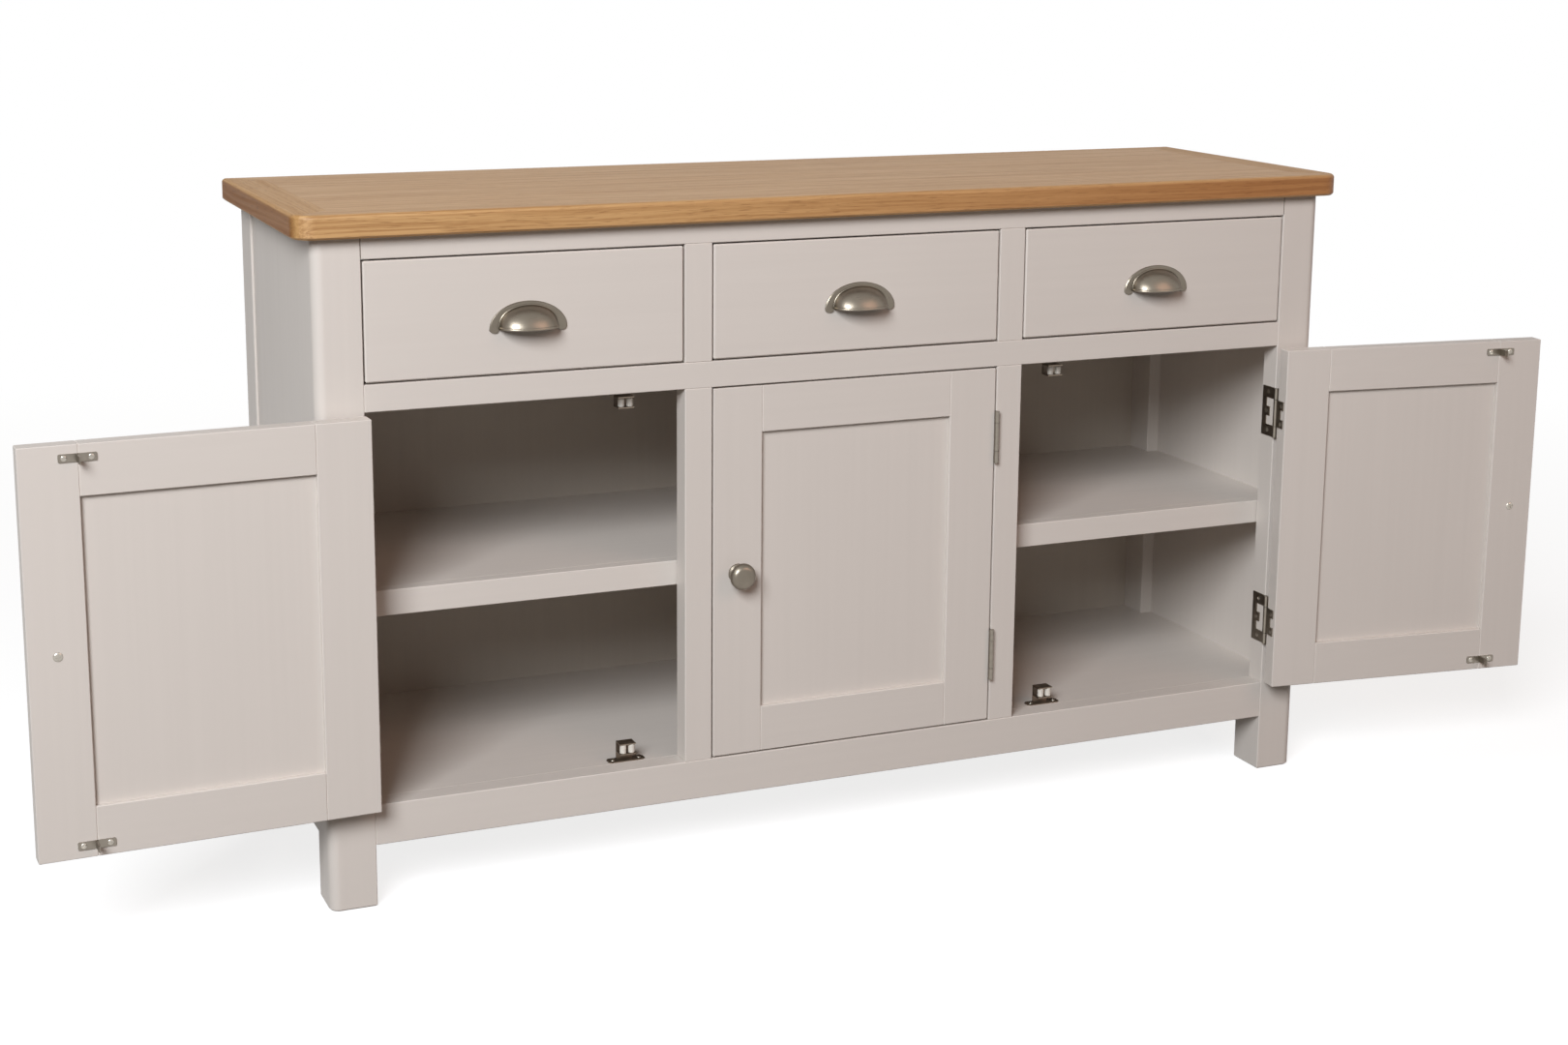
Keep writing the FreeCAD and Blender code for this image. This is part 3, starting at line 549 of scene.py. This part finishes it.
def pull_flange(bm, layer, middle):
    """The flat flange: an arch that runs out in a round ear on each side, lower than the lip. Its outer rim
    is thinner."""
    ear, arch = [], []
    for j in range(1, EAR_STEPS + 1):
        a = math.pi / 2 * j / EAR_STEPS * EAR_ROUND
        ear.append([(EAR_X + EAR_HALF_W * math.cos(a) * (2 * share - 1), -EAR_DROP * math.sin(a))
                    for share in FLANGE_SHARES])
    for i in range(PULL_SPANS + 1):
        a = math.pi * i / PULL_SPANS
        arch.append([((PULL_HALF_W + FLANGE_FOOT_W * share) * math.cos(a),
                      (FLANGE_CROWN_IN + FLANGE_CROWN_W * share) * math.sin(a)) for share in FLANGE_SHARES])
    strips = ear[::-1] + arch + [[(-x, z) for x, z in strip] for strip in ear]
    rows = []
    for i, strip in enumerate(strips):
        tip = i in (0, len(strips) - 1)
        front = []
        for (x, z), share in zip(strip, FLANGE_SHARES):
            thick = FLANGE_RIM_T if tip or share == FLANGE_SHARES[-1] else FLANGE_T
            front.append((middle + x, FACE_Y - thick, PULL_LIP_Z + z))
        rows.append(front + [(x, FACE_Y, z) for x, _, z in front[::-1]])
    marks = [share * FLANGE_MARK for share in FLANGE_SHARES]
    capped_loft(bm, rows, layer, [marks + marks[::-1]] * len(rows))


def cup_pull(drawer):
    """The cup pull: dome, lip, bead and flange in one piece."""
    bm = bmesh.new()
    layer = bm.verts.layers.float.new("across_brush")
    for form in (pull_dome, pull_rims, pull_flange):
        form(bm, layer, PULL_X[drawer])
    pull = piece_from(bm, drawer + "_cup_pull", nickel, CREASE)
    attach(pull, drawer)
    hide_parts(drawer + "_pull")


def nodes_tree(name, sizes):
    """An empty tree with its named inputs: places to put things, sizes, and the finish."""
    tree = bpy.data.node_groups.new(name, "GeometryNodeTree")
    tree.interface.new_socket("Places", in_out="INPUT", socket_type="NodeSocketGeometry")
    for size in sizes:
        tree.interface.new_socket(size, in_out="INPUT", socket_type="NodeSocketFloat")
    tree.interface.new_socket("Finish", in_out="INPUT", socket_type="NodeSocketMaterial")
    tree.interface.new_socket("Pieces", in_out="OUTPUT", socket_type="NodeSocketGeometry")
    return tree, add(tree, "NodeGroupInput").outputs


# Screw heads: sizes of the plain round head, and each kind's stretch across and along its axis
SCREW_SIZES = {"Head radius": 3 * MM, "Recess width": 0.75 * MM, "Recess depth": 3.2 * MM}
RECESS_REACH = 1.15        # length of a bar of the cross, as a share of the head's radius
RECESS_DEEPER = 1.06       # depth of the second bar, as a share of the first one's
SPIN_SEED = 7
COUNTERSUNK = (1.0, 1.0, 0.12)     # rises 0.36 mm, and a shut door leaves 0.5 mm at a leaf
LOW_ROUND = (0.95, 0.95, 0.35)
SMALL_ROUND = (1.1, 1.1, 0.32)
PAN = (1.75, 1.75, 0.55)


def screw_heads_tree():
    """A domed head with a cross recess, put at each place, facing the way that the place says."""
    tree, given = nodes_tree("cross_head_screws", ("Head radius", "Recess width", "Recess depth"))
    dome = add(tree, "GeometryNodeMeshUVSphere", {"Segments": 20, "Rings": 10,
                                                  "Radius": given["Head radius"]})
    reach = add(tree, "ShaderNodeMath", {0: given["Head radius"], 1: RECESS_REACH}, operation="MULTIPLY")
    # One bar of the cross goes a little deeper, so that the cut has no two floors in one plane
    deeper = add(tree, "ShaderNodeMath", {0: given["Recess depth"], 1: RECESS_DEEPER}, operation="MULTIPLY")
    first = add(tree, "ShaderNodeCombineXYZ", {0: reach.outputs[0], 1: given["Recess width"],
                                               2: given["Recess depth"]})
    second = add(tree, "ShaderNodeCombineXYZ", {0: given["Recess width"], 1: reach.outputs[0],
                                                2: deeper.outputs[0]})
    lift = add(tree, "ShaderNodeCombineXYZ", {2: given["Head radius"]})
    head = add(tree, "GeometryNodeMeshBoolean", {"Mesh 1": dome.outputs[0]}, operation="DIFFERENCE")
    for size in (first, second):
        bar = add(tree, "GeometryNodeMeshCube", {"Size": size.outputs[0]})
        raised = add(tree, "GeometryNodeTransform", {"Geometry": bar.outputs[0],
                                                     "Translation": lift.outputs[0]})
        tree.links.new(raised.outputs[0], head.inputs["Mesh 2"])
    facing = add(tree, "GeometryNodeInputNamedAttribute", {"Name": "facing"}, data_type="FLOAT_VECTOR")
    wide = add(tree, "GeometryNodeInputNamedAttribute", {"Name": "stretch"}, data_type="FLOAT_VECTOR")
    upright = add(tree, "FunctionNodeAlignRotationToVector", {"Vector": facing.outputs[0]}, axis="Z")
    stop = add(tree, "FunctionNodeRandomValue", {"Max": math.pi / 2, "Seed": SPIN_SEED}, data_type="FLOAT")
    spin = add(tree, "FunctionNodeAxisAngleToRotation", {"Axis": UP, "Angle": stop.outputs["Value"]})
    turned = add(tree, "FunctionNodeRotateRotation", {"Rotation": upright.outputs[0],
                                                      "Rotate By": spin.outputs[0]}, rotation_space="LOCAL")
    put = add(tree, "GeometryNodeInstanceOnPoints", {"Points": given["Places"], "Instance": head.outputs[0],
                                                     "Rotation": turned.outputs[0],
                                                     "Scale": wide.outputs[0]})
    real = add(tree, "GeometryNodeRealizeInstances", {"Geometry": put.outputs[0]})
    done = add(tree, "GeometryNodeSetMaterial", {"Geometry": real.outputs[0], "Material": given["Finish"]})
    add(tree, "NodeGroupOutput", {"Pieces": done.outputs[0]})
    return tree


ROLLER_SIZES = {"Roller radius": 3.9 * MM, "Roller height": 9.2 * MM, "Rim ease": 0.6 * MM}
ROLLER_SIDES = 32


def rollers_tree():
    """A roller with eased rims, put at each place, upright."""
    tree, given = nodes_tree("twin_catch_rollers", ("Roller radius", "Roller height", "Rim ease"))
    barrel = add(tree, "GeometryNodeMeshCylinder", {"Vertices": ROLLER_SIDES,
                                                    "Radius": given["Roller radius"],
                                                    "Depth": given["Roller height"]})
    share = add(tree, "ShaderNodeMath", {0: given["Rim ease"], 1: given["Roller radius"]},
                operation="DIVIDE")
    inner = add(tree, "ShaderNodeMath", {0: 1.0, 1: share.outputs[0]}, operation="SUBTRACT")
    rim = barrel
    for end in ("Top", "Bottom"):
        out = add(tree, "GeometryNodeExtrudeMesh", {"Mesh": rim.outputs[0], "Selection": barrel.outputs[end],
                                                    "Offset Scale": given["Rim ease"], "Individual": False})
        rim = add(tree, "GeometryNodeScaleElements", {"Geometry": out.outputs["Mesh"],
                                                      "Selection": out.outputs["Top"],
                                                      "Scale": inner.outputs[0]})
    put = add(tree, "GeometryNodeInstanceOnPoints", {"Points": given["Places"], "Instance": rim.outputs[0]})
    real = add(tree, "GeometryNodeRealizeInstances", {"Geometry": put.outputs[0]})
    done = add(tree, "GeometryNodeSetMaterial", {"Geometry": real.outputs[0], "Material": given["Finish"]})
    add(tree, "NodeGroupOutput", {"Pieces": done.outputs[0]})
    return tree


def set_out(name, tree, places, sizes, finish, body):
    """Places in mm as (point, facing, stretch). The tree's result is kept as one plain mesh on the body."""
    turn = stand[body].to_3x3()
    mesh = bpy.data.meshes.new(name)
    mesh.from_pydata([stand[body] @ (Vector(point) * MM) for point, _, _ in places], [], [])
    for label, column in (("facing", [turn @ Vector(f) for _, f, _ in places]),
                          ("stretch", [Vector(s) for _, _, s in places])):
        attribute = mesh.attributes.new(label, "FLOAT_VECTOR", "POINT")
        for item, value in zip(attribute.data, column):
            item.vector = value
    piece = bpy.data.objects.new(name, mesh)
    nodes = piece.modifiers.new("set_out", "NODES")
    nodes.node_group = tree
    for socket in tree.interface.items_tree:
        if socket.name in sizes:
            nodes[socket.identifier] = sizes[socket.name]
        if socket.name == "Finish":
            nodes[socket.identifier] = finish
    bpy.context.scene.collection.objects.link(piece)
    bpy.context.view_layer.update()
    made = piece.evaluated_get(bpy.context.evaluated_depsgraph_get())
    plain = bpy.data.meshes.new_from_object(made)
    piece.modifiers.remove(nodes)
    piece.data = plain
    plain.name = name
    plain.shade_smooth()
    plain.set_sharp_from_angle(angle=math.radians(CREASE))
    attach(piece, body)
    return piece


for door in KNOB_X:
    turned_knob(door)
for drawer in PULL_X:
    cup_pull(drawer)

# A thin strip of painted shade lies in the small groove where the top rail meets each post, where the paint
# has cracked
JOINT_SHADE_X, JOINT_SHADE_Y, JOINT_SHADE_Z = 600.0, -196.95, 760.5
JOINT_SHADE_SIZE = (0.9, 0.4, 23.0)
JOINT_SHADE_CREASE = 30
bm = bmesh.new()
for side in (-1, 1):
    middle = Matrix.Translation((side * JOINT_SHADE_X * MM, JOINT_SHADE_Y * MM, JOINT_SHADE_Z * MM))
    bmesh.ops.create_cube(bm, size=MM, matrix=middle @ Matrix.Diagonal((*JOINT_SHADE_SIZE, 1.0)))
joint_shade_strips = piece_from(bm, "top_rail_joint_painted_shade", joint_shade_finish, JOINT_SHADE_CREASE)
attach(joint_shade_strips, "carcass")

# Screws of each hinge leaf in mm, as (rise from the hinge's middle, y)
FRAME_LEAF_SCREWS = ((25.25, -185.0), (0.0, -181.0), (-25.25, -185.0))
DOOR_LEAF_SCREWS = ((12.0, -186.0), (-12.0, -186.0))
# Screws of catches, strikes and pulls in mm. A sheet is what a screw's head stands on
CATCH_SCREW_OUT, CATCH_SCREW_Y, CATCH_SHEET = 16.5, -161.6, 1.4
STRIKE_SCREW_OUT, STRIKE_SHEET = 14.0, 1.2
PULL_SCREW_RISE = 3.0      # over the lip, behind an ear

# Screws: countersunk in the hinge leaves, round headed in catches, strikes, knobs and pulls
screws = {body: [] for body in stand}
for door in KNOB_X:
    for leaf, holes, body in ((FRAME_LEAF_FACE[door], FRAME_LEAF_SCREWS, "carcass"),
                              (DOOR_LEAF_FACE[door], DOOR_LEAF_SCREWS, door)):
        for level in HINGE_Z:
            for rise, y in holes:
                screws[body].append(((leaf[0], y, level + rise), (leaf[1], 0, 0), COUNTERSUNK))
    for side in (-1, 1):
        x = CATCH_X[door] + side * CATCH_SCREW_OUT
        for board, way in zip(BOARDS_Z, (1, -1)):
            point = (x, CATCH_SCREW_Y, board + way * CATCH_SHEET)
            screws["carcass"].append((point, (0, 0, way), LOW_ROUND))
        x = CATCH_X[door] + side * STRIKE_SCREW_OUT
        for level in CATCH_Z:
            screws[door].append(((x, DOOR_BACK_Y + STRIKE_SHEET, level), (0, 1, 0), SMALL_ROUND))
    screws[door].append(((KNOB_X[door], DOOR_BACK_Y, KNOB_Z), (0, 1, 0), PAN))
for drawer in PULL_X:
    for side in (-1, 1):
        point = (PULL_X[drawer] + side * EAR_X, DRAWER_BACK_Y, PULL_LIP_Z + PULL_SCREW_RISE)
        screws[drawer].append((point, (0, 1, 0), PAN))
heads = screw_heads_tree()
for body, places in screws.items():
    set_out(body + "_screws", heads, places, SCREW_SIZES, screw_steel, body)

rollers = []
for door in CATCH_X:
    for side in (-1, 1):
        for level in CATCH_Z:
            rollers.append(((CATCH_X[door] + side * ROLLER_OUT, ROLLER_Y, level), (0, 0, 1), (1, 1, 1)))
pair = set_out("catch_nylon_rollers", rollers_tree(), rollers, ROLLER_SIZES, nylon, "carcass")
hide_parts("catch_rollers")


def seen_directly(tree):
    """A socket that is 1 for the eye, for reflections and through glass, and 0 for light that falls on
    things."""
    rays = add(tree, "ShaderNodeLightPath").outputs
    seen = add(tree, "ShaderNodeMath", {0: rays["Is Camera Ray"], 1: rays["Is Glossy Ray"]},
               operation="MAXIMUM")
    shown = add(tree, "ShaderNodeMath", {0: seen.outputs[0], 1: rays["Is Transmission Ray"]},
                operation="MAXIMUM")
    return shown.outputs[0]


# Floor: white to the eye and in reflections, and it keeps the cabinet's shadow
FLOOR_SIDE, FLOOR_BACK = 40, 60    # metres
FLOOR_GLOW, FLOOR_TAKES = 0.8, 0.36        # its own light, and the share of other light that it gives back
# The shadow is let go between these two distances in metres, so that the floor ends in plain white
SHADOW_REACH = {"From Min": 1.2, "From Max": 3.2}
floor_mesh = bpy.data.meshes.new("studio_floor")
floor_mesh.from_pydata([(-FLOOR_SIDE, -FLOOR_SIDE, 0), (FLOOR_SIDE, -FLOOR_SIDE, 0),
                        (FLOOR_SIDE, FLOOR_BACK, 0), (-FLOOR_SIDE, FLOOR_BACK, 0)], [], [(0, 1, 2, 3)])
floor = bpy.data.objects.new("studio_floor", floor_mesh)
bpy.context.scene.collection.objects.link(floor)
floor_finish, tree = new_finish("studio_floor_white")
shown = seen_directly(tree)
spot = add(tree, "ShaderNodeTexCoord").outputs["Object"]
away = add(tree, "ShaderNodeVectorMath", {0: spot}, operation="LENGTH").outputs["Value"]
own = add(tree, "ShaderNodeMapRange", {"Value": away, **SHADOW_REACH, "To Min": FLOOR_GLOW, "To Max": 1.0})
taken = add(tree, "ShaderNodeMapRange", {"Value": away, **SHADOW_REACH, "To Min": FLOOR_TAKES,
                                         "To Max": 0.0})
glow = add(tree, "ShaderNodeEmission", {"Color": (1, 1, 1, 1), "Strength": own.outputs[0]})
matt = add(tree, "ShaderNodeBsdfDiffuse", {"Color": taken.outputs[0]})
bright = add(tree, "ShaderNodeAddShader", {0: glow.outputs[0], 1: matt.outputs[0]})
dim = add(tree, "ShaderNodeBsdfDiffuse", {"Color": linear("#716A63")})
both = add(tree, "ShaderNodeMixShader", {0: shown, 1: dim.outputs[0], 2: bright.outputs[0]})
add(tree, "ShaderNodeOutputMaterial", {"Surface": both.outputs[0]})
floor_mesh.materials.append(floor_finish)

# Room light: white to the eye and in reflections, a weak even fill for everything else
world = bpy.data.worlds.new("studio_room")
bpy.context.scene.world = world
world.use_nodes = True
tree = world.node_tree
tree.nodes.clear()
shown = seen_directly(tree)
fill = add(tree, "ShaderNodeBackground", {"Color": linear("#FFD9B4"), "Strength": 0.05})
white = add(tree, "ShaderNodeBackground", {"Color": (1, 1, 1, 1), "Strength": 1.0})
mix = add(tree, "ShaderNodeMixShader", {0: shown, 1: fill.outputs[0], 2: white.outputs[0]})
add(tree, "ShaderNodeOutputWorld", {"Surface": mix.outputs[0]})


def soft_lamp(name, place, aim, width, tint, watts):
    """A square lamp at a place, aimed at a point, in metres."""
    lamp = bpy.data.lights.new(name, "AREA")
    lamp.shape = "SQUARE"
    lamp.size = width
    lamp.color = linear(tint)[:3]
    lamp.energy = watts
    holder = bpy.data.objects.new(name, lamp)
    holder.location = place
    holder.rotation_euler = (Vector(aim) - Vector(place)).to_track_quat("-Z", "Y").to_euler()
    bpy.context.scene.collection.objects.link(holder)


FRONT_MIDDLE = (0.0, -0.1, 0.5)
BACK_MIDDLE = (0.0, 0.2, 0.4)
soft_lamp("key_front_left", (-2.86, -3.56, 3.10), FRONT_MIDDLE, width=2.1, tint="#F6FAFF", watts=298)
soft_lamp("weak_front_right", (2.8, -4.0, 3.4), FRONT_MIDDLE, width=3.0, tint="#FFCFBA", watts=46)
soft_lamp("low_behind", (1.2, 4.2, 0.40), BACK_MIDDLE, width=0.7, tint="#FFF6EC", watts=70)

# Camera, solved from the photograph's frame lines: focal length and width in pixels, place in metres
FOCAL_PX, PHOTO_W = 2445.69, 1620
SENSOR_W = 36
CAMERA_PLACE = (-1.1910, -2.7208, 1.1069)
yaw, tilt, roll = math.radians(23.432), math.radians(11.247), math.radians(0.470)
camera = bpy.data.cameras.new("photograph_view")
camera.sensor_width = SENSOR_W
camera.lens = FOCAL_PX * SENSOR_W / PHOTO_W
camera.shift_y = -0.08
camera.clip_end = 200
forward = Vector((math.sin(yaw) * math.cos(tilt), math.cos(yaw) * math.cos(tilt), -math.sin(tilt)))
right = Vector((math.cos(yaw), -math.sin(yaw), 0))
up = right.cross(forward)
across_axis = right * math.cos(roll) + up * math.sin(roll)
up_axis = up * math.cos(roll) - right * math.sin(roll)
holder = bpy.data.objects.new("photograph_view", camera)
holder.matrix_world = Matrix.Translation(CAMERA_PLACE) @ Matrix(
    (across_axis, up_axis, -forward)).transposed().to_4x4()
bpy.context.scene.collection.objects.link(holder)
bpy.context.scene.camera = holder
bpy.context.scene.view_settings.view_transform = "Standard"
